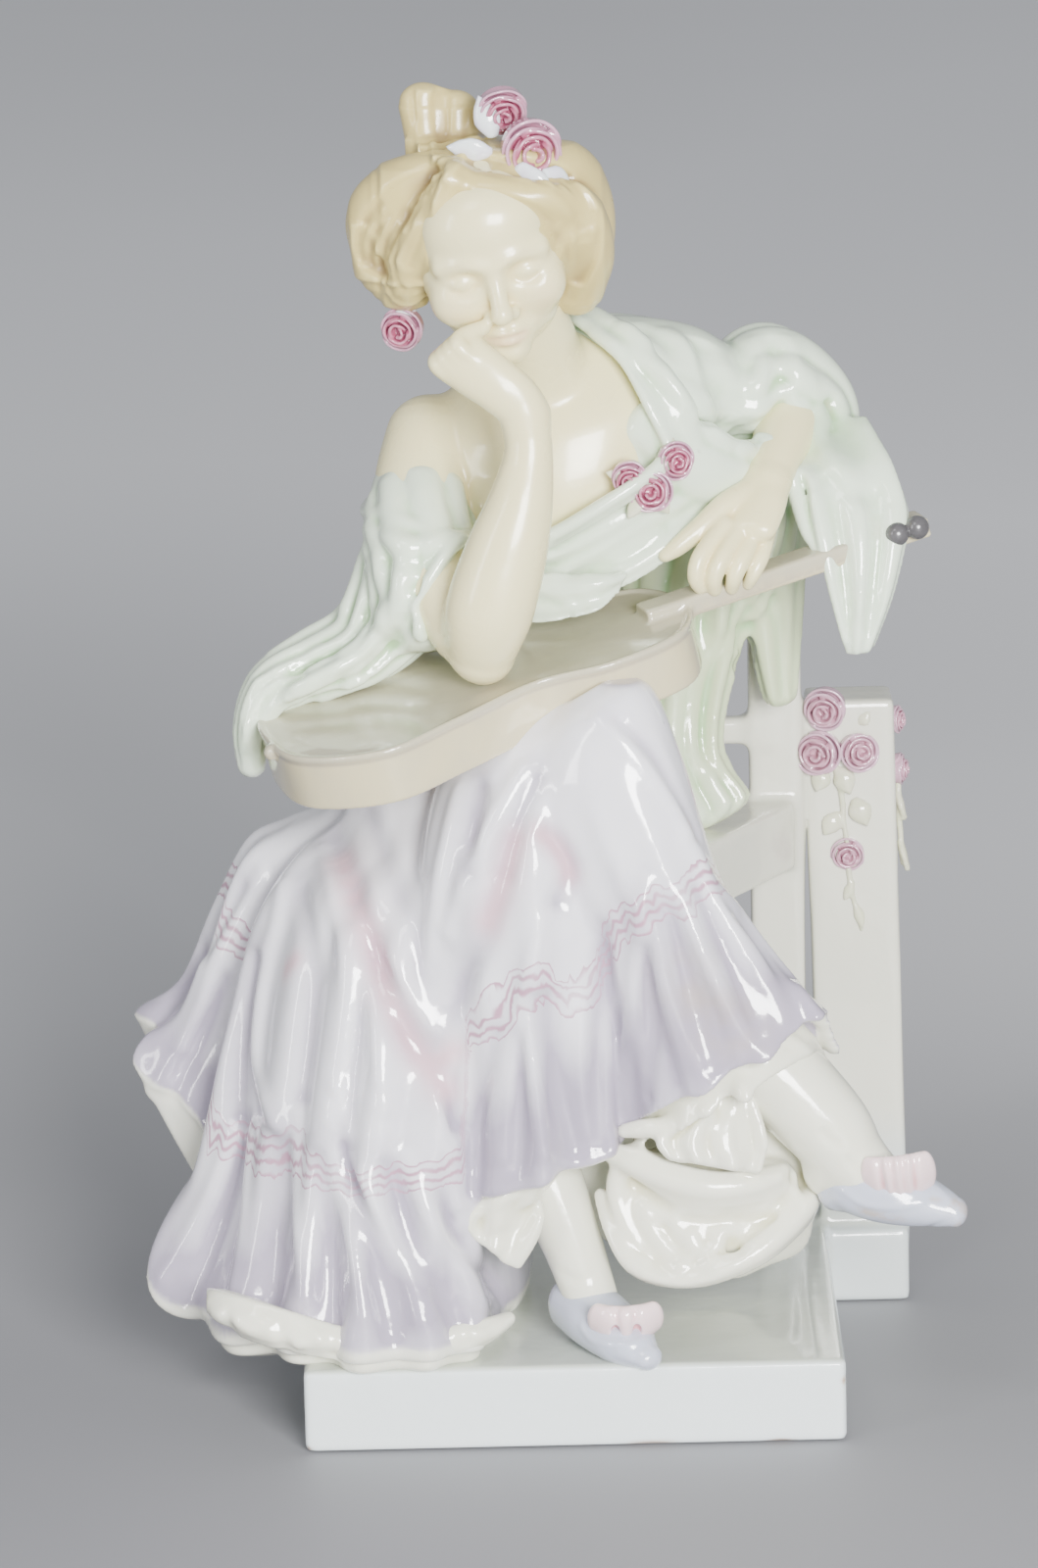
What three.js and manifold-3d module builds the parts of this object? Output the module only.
// A glazed faience figurine, fired as one piece with its plinth: a lady sits on a garden bench beside a
// rose pillar, legs crossed, one elbow on the guitar in her lap and her chin in that hand, the other hand
// on its neck. Millimetres, +Z up, +X to the viewer's right and -Y towards the viewer. The origin is on the
// underside of the plinth, at the middle of its main block. "Right" and "left" below are the viewer's.

import * as THREE from "three";
import { ParametricGeometry } from "three/addons/geometries/ParametricGeometry.js";
import { mergeVertices } from "three/addons/utils/BufferGeometryUtils.js";
import Module from "manifold-3d";

const wasm = await Module();
wasm.setup();

// Driving dimensions

const PLINTH = { left: -74, right: 73, front: -75, back: 74, height: 23.5, soft: 2 };
const PILLAR_FOOT = { right: 97, front: 46, height: 22 };
const PILLAR = { left: 69.4, right: 94.3, front: 50, depth: 20, top: 177, lean: 2.6 };
const SEAT = {
  top: 149,
  thick: 19.5,
  left: -66,
  right: 65.5,
  front: -14,
  back: 58,
  rightFront: 32,
  returns: 44,
};
const BACK_REST = {
  y: 52,
  thick: 8,
  left: -38,
  right: 60.6,
  top: 238,
  postWide: 15,
  railHigh: 7.5,
  slats: 3,
};
const GUITAR = {
  middle: [-23, -34, 208],
  along: [119, 30, 30],
  tilt: 5,
  bodyLength: 120,
  lowerBout: 35,
  waist: 22,
  upperBout: 27,
  deep: 10,
  neckLength: 84,
  neckWide: 5,
  neckTurn: 4,
  neckRise: -1,
  neckShift: 2,
  pegs: 1,
};
const ROSE = { hair: 7.5, pillar: 6.2, bodice: 5.5, detail: 6 };

const GLAZE = new THREE.MeshStandardMaterial({ color: 0xe9e8e2, roughness: 0.18, metalness: 0 });

// Helpers

const vec = (p) => new THREE.Vector3(...p);
const radians = THREE.MathUtils.degToRad;
const smooth = (a, b, x) => THREE.MathUtils.smoothstep(x, a, b);

// A closed geometry as a solid: shared corners merged, flat faces at the poles dropped, faces pointing out.
function solidOf(geometry) {
  const bare = geometry.clone();
  bare.deleteAttribute("normal");
  bare.deleteAttribute("uv");
  const merged = mergeVertices(bare, 1e-3);
  const faces = [];
  const index = merged.index.array;
  for (let i = 0; i < index.length; i += 3) {
    const [a, b, c] = [index[i], index[i + 1], index[i + 2]];
    if (a !== b && b !== c && c !== a) faces.push(a, b, c);
  }
  const build = (triVerts) =>
    new wasm.Manifold(
      new wasm.Mesh({ numProp: 3, vertProperties: merged.attributes.position.array, triVerts }),
    );
  const solid = build(new Uint32Array(faces));
  return solid.volume() > 0 ? solid : build(new Uint32Array(faces.reverse()));
}

const unite = (solids) => solids.reduce((sum, solid) => sum.add(solid));

function geometryOf(solid) {
  const mesh = solid.getMesh();
  const geometry = new THREE.BufferGeometry();
  geometry.setAttribute("position", new THREE.BufferAttribute(mesh.vertProperties, 3));
  geometry.setIndex(new THREE.BufferAttribute(mesh.triVerts, 1));
  return geometry;
}

// A value along a list of knots, eased between them: t runs from 0 at the first knot to 1 at the last.
function along(knots, t) {
  const at = THREE.MathUtils.clamp(t, 0, 1) * (knots.length - 1);
  const i = Math.min(Math.floor(at), knots.length - 2);
  const near = (k) => knots[THREE.MathUtils.clamp(k, 0, knots.length - 1)];
  return catmull(near(i - 1), near(i), near(i + 1), near(i + 2), at - i);
}

function catmull(a, b, c, d, f) {
  return b + 0.5 * f * (c - a + f * (2 * a - 5 * b + 4 * c - d + f * (3 * (b - c) + d - a)));
}

function ball(centre, radii, turn = [0, 0, 0], detail = 14) {
  const sphere = new THREE.SphereGeometry(1, detail, Math.round(detail * 0.7));
  sphere.scale(...radii);
  sphere.rotateX(radians(turn[0]));
  sphere.rotateY(radians(turn[1]));
  sphere.rotateZ(radians(turn[2]));
  sphere.translate(...centre);
  return solidOf(sphere);
}

// A limb with round ends through knots [x, y, z, half width, half thickness]. Its width lies near "across".
function limb(knots, across = [1, 0, 0], sides = 9, steps = 1) {
  const path = (t) => new THREE.Vector3(...[0, 1, 2].map((k) => along(knots.map((n) => n[k]), t)));
  const halfWide = knots.map((n) => n[3]);
  const halfThick = knots.map((n) => n[4] ?? n[3]);
  const rings = (knots.length - 1) * steps;
  const ends = [-1, -0.75, ...new Array(rings + 1).fill(0), 0.75, 1];
  return solidOf(
    new ParametricGeometry(
      (u, v, target) => {
        const station = Math.round(v * (ends.length - 1));
        const out = ends[station];
        const t = THREE.MathUtils.clamp((station - 2) / rings, 0, 1);
        const wide = along(halfWide, t);
        const thick = along(halfThick, t);
        const tangent = path(Math.min(t + 0.01, 1)).sub(path(Math.max(t - 0.01, 0))).normalize();
        const side = vec(across).addScaledVector(tangent, -tangent.dot(vec(across))).normalize();
        const face = tangent.clone().cross(side);
        const shrink = Math.sqrt(Math.max(0, 1 - out * out));
        const angle = 2 * Math.PI * (u % 1);
        target.copy(path(t)).addScaledVector(tangent, out * Math.min(wide, thick));
        target.addScaledVector(side, wide * shrink * Math.cos(angle));
        target.addScaledVector(face, thick * shrink * Math.sin(angle));
      },
      sides,
      ends.length - 1,
    ),
  );
}

// A bump round a turn: its height at an angle, from its middle, its height and its spread, in degrees.
function bump(degrees, middle, height, spread) {
  const off = ((((degrees - middle) % 360) + 540) % 360) - 180;
  return height * Math.exp(-((off / spread) ** 2));
}

// The ridges' heights at an angle, added up. Number 1 of a ridge is how far it stands out and 3 how far it
// drops.
function ridged(ridges, degrees, number) {
  return ridges.reduce((sum, ridge) => sum + bump(degrees, ridge[0], ridge[number] ?? 0, ridge[2]), 0);
}

// Hanging cloth: rings [x, y, z, right, back, left, front, fold] from the top down, the last ones turned in
// underneath. Ridges are [degrees, out, spread, drop] round it, and "fold" says how much of them a ring
// shows. tilt lifts the rings' right side and lean their back; rise lifts the hem between two angles.
function cloth({ rings, ridges, tilt = 0, lean = 0, rise = [0, 0, 0, 0, 0], sides = 36, steps = 1 }) {
  const value = (k, t) => along(rings.map((ring) => ring[k]), t);
  const right = vec([Math.cos(radians(tilt)), 0, Math.sin(radians(tilt))]);
  const back = vec([0, Math.cos(radians(lean)), Math.sin(radians(lean))]);
  const stacks = (rings.length - 1) * steps + 2;
  const [lift, from, full, still, to] = rise;
  return solidOf(
    new ParametricGeometry(
      (u, v, target) => {
        const station = Math.round(v * stacks);
        const t = THREE.MathUtils.clamp((station - 1) / (stacks - 2), 0, 1);
        const open = station === 0 || station === stacks ? 0 : 1;
        const angle = 2 * Math.PI * (u % 1);
        const degrees = (angle * 180) / Math.PI;
        const [c, s] = [Math.cos(angle), Math.sin(angle)];
        const fold = Math.max(0, value(7, t));
        const out = fold * ridged(ridges, degrees, 1);
        const drop = fold * ridged(ridges, degrees, 3);
        const risen = smooth(from, full, degrees) * (1 - smooth(still, to, degrees));
        target.set(value(0, t), value(1, t), value(2, t));
        target.addScaledVector(right, open * (value(c > 0 ? 3 : 5, t) + out) * c);
        target.addScaledVector(back, open * (value(s > 0 ? 4 : 6, t) + out) * s);
        target.z += open * (fold ** 1.5 * lift * risen - drop);
      },
      sides,
      stacks,
    ),
  );
}

function slab(outline, low, thick, soft) {
  const shape = new THREE.Shape(outline.map(([x, y]) => new THREE.Vector2(x, y)));
  const block = new THREE.ExtrudeGeometry(shape, {
    depth: thick - 2 * soft,
    bevelThickness: soft,
    bevelSize: soft,
    bevelOffset: -soft,
    bevelSegments: 1,
  });
  block.translate(0, 0, low + soft);
  return solidOf(block);
}

// Plinth, bench and pillar

const rectangle = (left, front, right, back) => [
  [left, front],
  [right, front],
  [right, back],
  [left, back],
];

function plinth() {
  const { left, right, front, back, height, soft } = PLINTH;
  const foot = PILLAR_FOOT;
  return unite([
    slab(rectangle(left, front, right, back), 0, height, soft),
    slab(rectangle(right - 20, foot.front, foot.right, back), 0, foot.height, soft),
  ]);
}

function pillar() {
  const { left, right, front, depth, top, lean } = PILLAR;
  const low = PILLAR_FOOT.height - 3;
  const outline = [
    [left + lean, low],
    [right + lean, low],
    [right, top],
    [left, top],
  ];
  const standing = new THREE.Shape(outline.map(([x, z]) => new THREE.Vector2(x, z)));
  const block = new THREE.ExtrudeGeometry(standing, {
    depth: depth - 2,
    bevelThickness: 1,
    bevelSize: 1,
    bevelOffset: -1,
    bevelSegments: 1,
  });
  block.rotateX(Math.PI / 2);
  block.translate(0, front + depth - 1, 0);
  return solidOf(block);
}

function bench() {
  const { top, thick, left, right, front, back, rightFront, returns } = SEAT;
  const seat = slab(
    [
      [left, front],
      [rightFront, front],
      [right, returns],
      [right, back],
      [left, back],
    ],
    top - thick,
    thick,
    1.5,
  );
  const { y, thick: deep, left: first, right: last, top: high, postWide, railHigh, slats } = BACK_REST;
  const foot = PLINTH.height - 2;
  const bar = (x, z, width, tall, thin = 0) => {
    const plain = new THREE.BoxGeometry(width, deep - thin, tall);
    return solidOf(plain.translate(x, y, z));
  };
  const rail = (z) => bar((first + last) / 2, z, last - first, railHigh, 1);
  const gap = (last - first) / (slats + 1);
  const slat = (i) => bar(first + gap * (i + 1), (top + high - railHigh) / 2, 7, high - railHigh - top, 2);
  const bars = Array.from({ length: slats }, (_, i) => slat(i));
  return unite([
    seat,
    bar(first, foot + (high - foot) / 2, postWide, high - foot),
    bar(last, foot + (high - foot) / 2, postWide, high - foot),
    ...bars,
    rail(top + 20),
    rail(high - railHigh),
  ]);
}

// The lady

function body() {
  const torso = cloth({
    rings: [
      [-3, 4, 291, 9, 8, 9, 8, 0],
      [-3, 5, 282, 28, 13, 28, 13, 0],
      [-2, 4, 266, 37, 18, 36, 21, 0],
      [0, 4, 244, 31, 19, 31, 23, 0],
      [-4, 9, 212, 25, 18, 26, 19, 0],
      [-8, 14, 182, 38, 24, 44, 28, 0],
      [-10, 16, 146, 42, 26, 50, 30, 0],
    ],
    ridges: [],
    tilt: 13,
    sides: 14,
  });
  const neck = limb([[-2, 3, 280, 14, 13], [-5, -7, 293, 12.5, 12], [-9, -16, 306, 12, 12]]);
  return unite([torso, neck]);
}

function head() {
  return unite([
    ball([-16.5, -23, 323], [21, 25, 24], [12, -11, 0], 12),
    ball([-14, -32, 306], [15.5, 15, 14], [16, -11, 0], 10),
    ball([-16.5, -48.5, 314], [3, 3.6, 6], [20, -11, 0], 6),
  ]);
}

function hair() {
  const cap = ball([-17, -9, 325.5], [28.5, 28, 21], [0, 8, 0], 14);
  const leftRoll = limb(
    [
      [-40, -16, 308, 6, 6],
      [-45, -17, 317, 8, 8],
      [-46, -18, 327, 9, 7],
      [-37, -26, 334, 8, 7],
      [-26, -33, 339, 6, 5],
      [-18, -36, 340, 4, 4],
    ],
    [0, 1, 0],
    8,
  );
  const rightRoll = limb(
    [
      [-24, -34, 339, 5, 5],
      [-8, -34, 338, 8, 7],
      [3, -26, 334, 10, 9],
      [6, -17, 322, 9, 9],
      [4, -11, 309, 7, 7],
    ],
    [0, 1, 0],
    8,
  );
  const knot = limb([[-27, -8, 338, 8, 7], [-30, -7, 350, 6.5, 6], [-32, -6, 360, 5, 5]], [1, 0, 0], 8);
  const bow = limb([[-24, -7, 338, 8, 7], [-24, -6, 350, 6.5, 6], [-25, -5, 357, 6, 5]], [1, 0, 0], 8);
  return unite([cap, leftRoll, rightRoll, knot, bow]);
}

function leaningArm() {
  const upper = limb(
    [[-36, 4, 263, 13, 13], [-37, -14, 246, 13, 13], [-25, -42, 222, 11, 12]],
    [1, 0, 0],
    8,
  );
  const fore = limb(
    [
      [-22, -49, 219, 10, 10],
      [-18, -53, 234, 12, 11],
      [-10, -52, 256, 9, 8.5],
      [-6, -50, 275, 6.2, 6],
      [-7, -49, 284, 6, 6],
    ],
  );
  const hand = limb(
    [
      [-8, -48, 284, 6, 6.5],
      [-13, -48, 293, 7, 8],
      [-22, -48, 297, 6.5, 8],
      [-27, -46, 295, 5.5, 7],
    ],
    [0.4, 0, 1],
  );
  const curled = limb([[-29, -47, 294, 6, 4], [-29, -44, 288, 6, 4], [-22, -41, 285, 6, 4]], [0, 1, 0], 8);
  return unite([upper, fore, hand, curled]);
}

function restingArm() {
  const upper = limb([[32, 12, 276, 12, 12], [50, 23, 268, 11, 11], [66, 29, 266, 11, 11]], [1, 0, 0], 8);
  const fore = limb([[66, 29, 267, 12, 11], [63, 15, 259, 9, 9], [58, 3, 250, 7, 6.5]], [1, 0, 0], 8);
  const hand = limb(
    [[59, 4, 251, 7, 6.5], [53, -6, 242, 9.5, 5.5], [46, -12, 234, 9, 5]],
    [1, -0.4, 0.3],
    8,
  );
  const fingers = [0, 1, 2, 3].map((i) =>
    limb(
      [
        [38.5 + 5 * i, -15 + 1.5 * i, 233 + i / 2, 2.9],
        [37 + 5.4 * i, -21 + 1.5 * i, 227 + i / 2, 2.8],
        [38 + 5 * i, -21 + 1.5 * i, 220 + i / 2, 2.3],
      ],
      [1, 0, 0],
      5,
    ),
  );
  return unite([upper, fore, hand, ...fingers]);
}

function legs() {
  const crossed = limb([[40, -52, 112, 12, 12], [52, -54, 97, 11, 11], [67, -58, 83, 9, 9]], [1, 0, 0], 8);
  const crossedShoe = limb(
    [[66, -56, 80, 9, 9], [78, -59, 73, 9, 9], [92, -62, 64, 8, 7], [103, -65, 61, 4.5, 4]],
    [0, 1, 0.3],
    8,
  );
  const planted = limb([[-10, -46, 76, 10, 10], [-4, -50, 60, 9, 9], [3, -54, 42, 7.5, 7.5]], [1, 0, 0], 8);
  const plantedShoe = limb(
    [[0, -50, 34, 8, 9], [7, -60, 31, 9.5, 8], [14, -69, 28, 8, 6], [19, -75, 25.5, 4, 3.5]],
    [1, 0.5, 0],
    8,
  );
  return unite([crossed, crossedShoe, planted, plantedShoe]);
}

// Skirt and petticoats

function train() {
  return cloth({
    rings: [
      [-16, 8, 200, 20, 16, 24, 16, 0],
      [-20, 4, 180, 34, 28, 38, 32, 0.1],
      [-26, 0, 163, 40, 28, 34, 40, 0.1],
      [-34, -2, 149, 42, 32, 40, 50, 0.25],
      [-40, 0, 130, 42, 36, 43, 58, 0.45],
      [-46, 0, 96, 40, 40, 44, 65, 0.65],
      [-50, 0, 55, 38, 44, 48, 71, 0.85],
      [-50, 0, 31, 39, 44, 59, 77, 1],
      [-50, 0, 26, 37, 40, 55, 73, 0.95],
      [-46, -2, 22, 26, 28, 36, 52, 0.2],
    ],
    ridges: [
      [160, 17, 8, 0],
      [176, 13, 6, 6],
      [187, -9, 5, 0],
      [197, 12, 7, 4],
      [222, 4, 9, 2],
      [243, 3, 7, 0],
      [262, 5, 7, 0],
      [285, 6, 8, 0],
      [302, 7, 8, 0],
      [233, -3, 5, 0],
      [252, -3, 5, 0],
    ],
    rise: [68, 20, 110, 172, 205],
    sides: 40,
  });
}

function kneeDrape() {
  return cloth({
    rings: [
      [-4, -34, 202, 12, 12, 12, 12, 0],
      [-8, -38, 188, 24, 22, 26, 22, 0.2],
      [-10, -42, 160, 28, 24, 30, 27, 0.5],
      [-9, -43, 118, 24, 22, 26, 27, 0.8],
      [-9, -44, 86, 23, 22, 24, 27, 1],
      [-9, -44, 74, 24, 23, 25, 28, 1],
      [-9, -43, 75, 18, 16, 19, 22, 0.7],
    ],
    ridges: [
      [205, 5, 14, 3],
      [240, 2, 9, 0],
      [272, 3, 9, 0],
      [316, 6, 12, 0],
    ],
    tilt: 17,
    sides: 28,
  });
}

function crossedDrape() {
  const thigh = limb([[-10, 8, 180, 26, 24], [2, -25, 182, 24, 22], [9, -48, 182, 20, 20]]);
  const bell = cloth({
    rings: [
      [7, -46, 204, 10, 10, 10, 10, 0],
      [9, -48, 196, 18, 16, 18, 17, 0],
      [13, -50, 176, 22, 20, 23, 21, 0.2],
      [25, -51, 147, 19, 22, 24, 23, 0.5],
      [37, -51, 120, 23, 24, 30, 25, 0.8],
      [44, -50, 104, 30, 26, 35, 28, 1],
      [45, -50, 100, 33, 27, 36, 29, 1],
      [44, -50, 104, 26, 20, 29, 22, 0.7],
    ],
    ridges: [
      [12, 4, 22, 20],
      [190, 3, 14, 0],
      [228, 3, 10, 0],
      [255, 3, 8, 3],
      [285, 3, 9, 4],
      [318, 3, 10, 0],
    ],
    tilt: 30,
    lean: -15,
    sides: 28,
  });
  return unite([thigh, bell]);
}

function petticoats() {
  const inner = cloth({
    rings: [
      [40, -49, 112, 18, 16, 22, 18, 0],
      [44, -49, 97, 26, 20, 30, 23, 0.7],
      [44, -49, 92, 27, 21, 31, 24, 1],
      [43, -49, 97, 21, 15, 24, 18, 0.7],
    ],
    ridges: [[12, 3, 20, 12], [200, 2, 12, 0], [240, 2, 10, 2], [275, 2, 10, 2]],
    tilt: 28,
    lean: -12,
    sides: 22,
  });
  const long = cloth({
    rings: [
      [30, -44, 112, 16, 14, 16, 14, 0],
      [32, -40, 94, 26, 26, 26, 18, 0.4],
      [33, -41, 74, 33, 42, 32, 20, 0.9],
      [33, -43, 68, 35, 48, 34, 20, 1],
      [33, -45, 72, 29, 41, 29, 16, 0.8],
      [34, -41, 90, 16, 18, 15, 10, 0],
    ],
    ridges: [[35, 3, 14, 0], [70, 2, 12, 0], [100, 3, 12, 0], [135, 3, 14, 0]],
    tilt: -10,
    lean: -54,
    sides: 24,
  });
  const ankle = cloth({
    rings: [
      [-10, -42, 92, 20, 18, 22, 20, 0],
      [-14, -43, 78, 22, 20, 22, 22, 0.6],
      [-17, -44, 64, 16, 18, 17, 20, 1],
      [-16, -43, 66, 11, 12, 12, 14, 0.6],
    ],
    ridges: [[215, 3, 14, 2], [255, 3, 12, 3], [290, 3, 12, 0]],
    tilt: 24,
    sides: 20,
  });
  return unite([inner, long, ankle]);
}

// Guitar

function guitarFrame() {
  const x = vec(GUITAR.along).normalize();
  const level = new THREE.Vector3(0, 0, 1).cross(x).normalize();
  const tilt = radians(GUITAR.tilt);
  const z = x.clone().cross(level).multiplyScalar(Math.cos(tilt)).addScaledVector(level, -Math.sin(tilt));
  const y = z.clone().cross(x);
  return new THREE.Matrix4().makeBasis(x, y, z).setPosition(vec(GUITAR.middle));
}

function guitar() {
  const { bodyLength, lowerBout, waist, upperBout, deep, neckLength, neckWide } = GUITAR;
  const half = bodyLength / 2;
  const side = [
    [-half, 0],
    [-half * 0.93, lowerBout * 0.6],
    [-half * 0.6, lowerBout],
    [-half * 0.22, lowerBout * 0.84],
    [half * 0.18, waist],
    [half * 0.52, upperBout * 0.96],
    [half * 0.86, upperBout * 0.8],
    [half, upperBout * 0.25],
  ];
  const outline = [...side, ...side.slice(1).reverse().map(([x, y]) => [x, -y])];
  const curve = new THREE.CatmullRomCurve3(outline.map(([x, y]) => new THREE.Vector3(x, y, 0)), true);
  const shape = new THREE.Shape(curve.getPoints(34).slice(0, -1).map((p) => new THREE.Vector2(p.x, p.y)));
  const soft = 1.2;
  const belly = new THREE.ExtrudeGeometry(shape, {
    depth: deep - 2 * soft,
    bevelThickness: soft,
    bevelSize: soft,
    bevelOffset: -soft,
    bevelSegments: 1,
  });
  belly.translate(0, 0, soft - deep);
  const neck = new THREE.BoxGeometry(neckLength, 2 * neckWide, 5.5);
  neck.rotateZ(radians(GUITAR.neckTurn));
  neck.rotateY(-radians(GUITAR.neckRise));
  neck.translate(half + neckLength / 2 - 12, GUITAR.neckShift, -1);
  const pegs = [0, 1].map((i) => {
    const peg = new THREE.SphereGeometry(2.9, 7, 5);
    peg.translate(half + neckLength - 21 + 5.5 * i, GUITAR.pegs, -1);
    return peg;
  });
  return unite([belly, neck, ...pegs].map((piece) => solidOf(piece.applyMatrix4(guitarFrame()))));
}

// Shawl

function shawl() {
  const overShoulder = limb(
    [
      [4, 6, 290, 6, 4],
      [16, 8, 287, 14, 8],
      [34, 12, 280, 18, 13],
      [48, 21, 272, 16, 13],
      [60, 27, 275, 16, 14],
      [67, 30, 264, 14, 15],
    ],
    [0, 1, 0.4],
  );
  const acrossFront = limb(
    [
      [6, -8, 288, 4, 4],
      [22, -14, 272, 9, 5],
      [34, -12, 256, 13, 6],
      [48, -2, 252, 12, 7],
      [60, 8, 256, 10, 8],
    ],
    [0.4, 0, 1],
    8,
  );
  const corner = limb(
    [
      [67, 28, 262, 12, 9],
      [72, 14, 252, 12, 8],
      [80, -2, 244, 13, 6],
      [82.5, -8, 232, 12.5, 5],
      [82.5, -9, 217, 9, 4.5],
      [82, -9, 208, 5, 4],
    ],
  );
  const behind = limb(
    [
      [40, 28, 262, 24, 12],
      [42, 30, 236, 24, 9],
      [36, 28, 212, 20, 8],
      [32, 25, 188, 14, 7],
      [31, 22, 168, 13, 7],
      [36, 18, 153, 17, 5],
    ],
  );
  const tip = limb([[56, 34, 232, 14, 7], [59, 34, 206, 9, 6], [61.5, 33, 184, 4.5, 4]], [1, 0, 0], 8);
  const atElbow = limb(
    [
      [-37, 4, 250, 14, 14],
      [-40, -8, 236, 15, 15],
      [-43, -14, 222, 17, 15],
      [-52, -17, 211, 18, 11],
      [-66, -18, 207, 17, 8],
      [-78, -20, 202, 14, 8],
      [-83, -23, 192, 10, 5],
      [-83, -25, 181, 5, 3],
    ],
    [0, 1, 0],
  );
  const round = limb([[-36, 16, 246, 13, 12], [-6, 24, 246, 14, 12], [30, 26, 258, 16, 12]], [0, 0, 1], 8);
  const bodice = limb(
    [[-14, -8, 228, 16, 12], [2, -12, 238, 17, 13], [20, -8, 250, 15, 13]],
    [0.3, 0, 1],
    8,
  );
  const sash = limb([[-6, -24, 230, 7, 4], [8, -27, 226, 8, 5], [20, -23, 228, 5, 4]], [0.2, 0, 1], 8);
  return unite([overShoulder, acrossFront, corner, behind, tip, atElbow, round, bodice, sash]);
}

// Roses: a ball of petals each, with leaves beside those in the hair

function roses() {
  const { hair: h, pillar: p, bodice: b, detail } = ROSE;
  const rose = (at, size) => ball(at, [size, size, size], [90, 0, 0], detail);
  const leaf = (at, radii, turn) => ball(at, radii, turn, 5);
  const face = PILLAR.front;
  const side = PILLAR.right;
  return unite([
    rose([-14, -21, 354.5], h),
    rose([-6, -32, 347], h * 1.15),
    rose([-40, -20, 299], b),
    leaf([-13, -21, 347], [7, 6, 6], [0, 0, 0]),
    leaf([-21, -29, 345], [6, 5, 3], [0, 20, 0]),
    leaf([-5, -37, 336.5], [6, 4, 4], [0, -30, 0]),
    rose([23, -21, 248.5], b),
    rose([32, -18, 255], b),
    rose([75, face, 175.5], p),
    rose([73, face - 1, 163], p),
    rose([84, face, 164], p),
    rose([81, face + 1, 132], p * 0.8),
    rose([side, face + 9, 171], p * 0.6),
    rose([side + 1, face + 8, 158], p * 0.7),
  ]);
}

function figurine() {
  const solid = unite([
    plinth(),
    pillar(),
    bench(),
    body(),
    head(),
    hair(),
    leaningArm(),
    restingArm(),
    legs(),
    train(),
    kneeDrape(),
    crossedDrape(),
    petticoats(),
    guitar(),
    shawl(),
    roses(),
  ]);
  const mesh = new THREE.Mesh(geometryOf(solid), GLAZE);
  mesh.name = "seated_lady_with_guitar";
  return mesh;
}

const part = new THREE.Group();
part.add(figurine());

export default part;
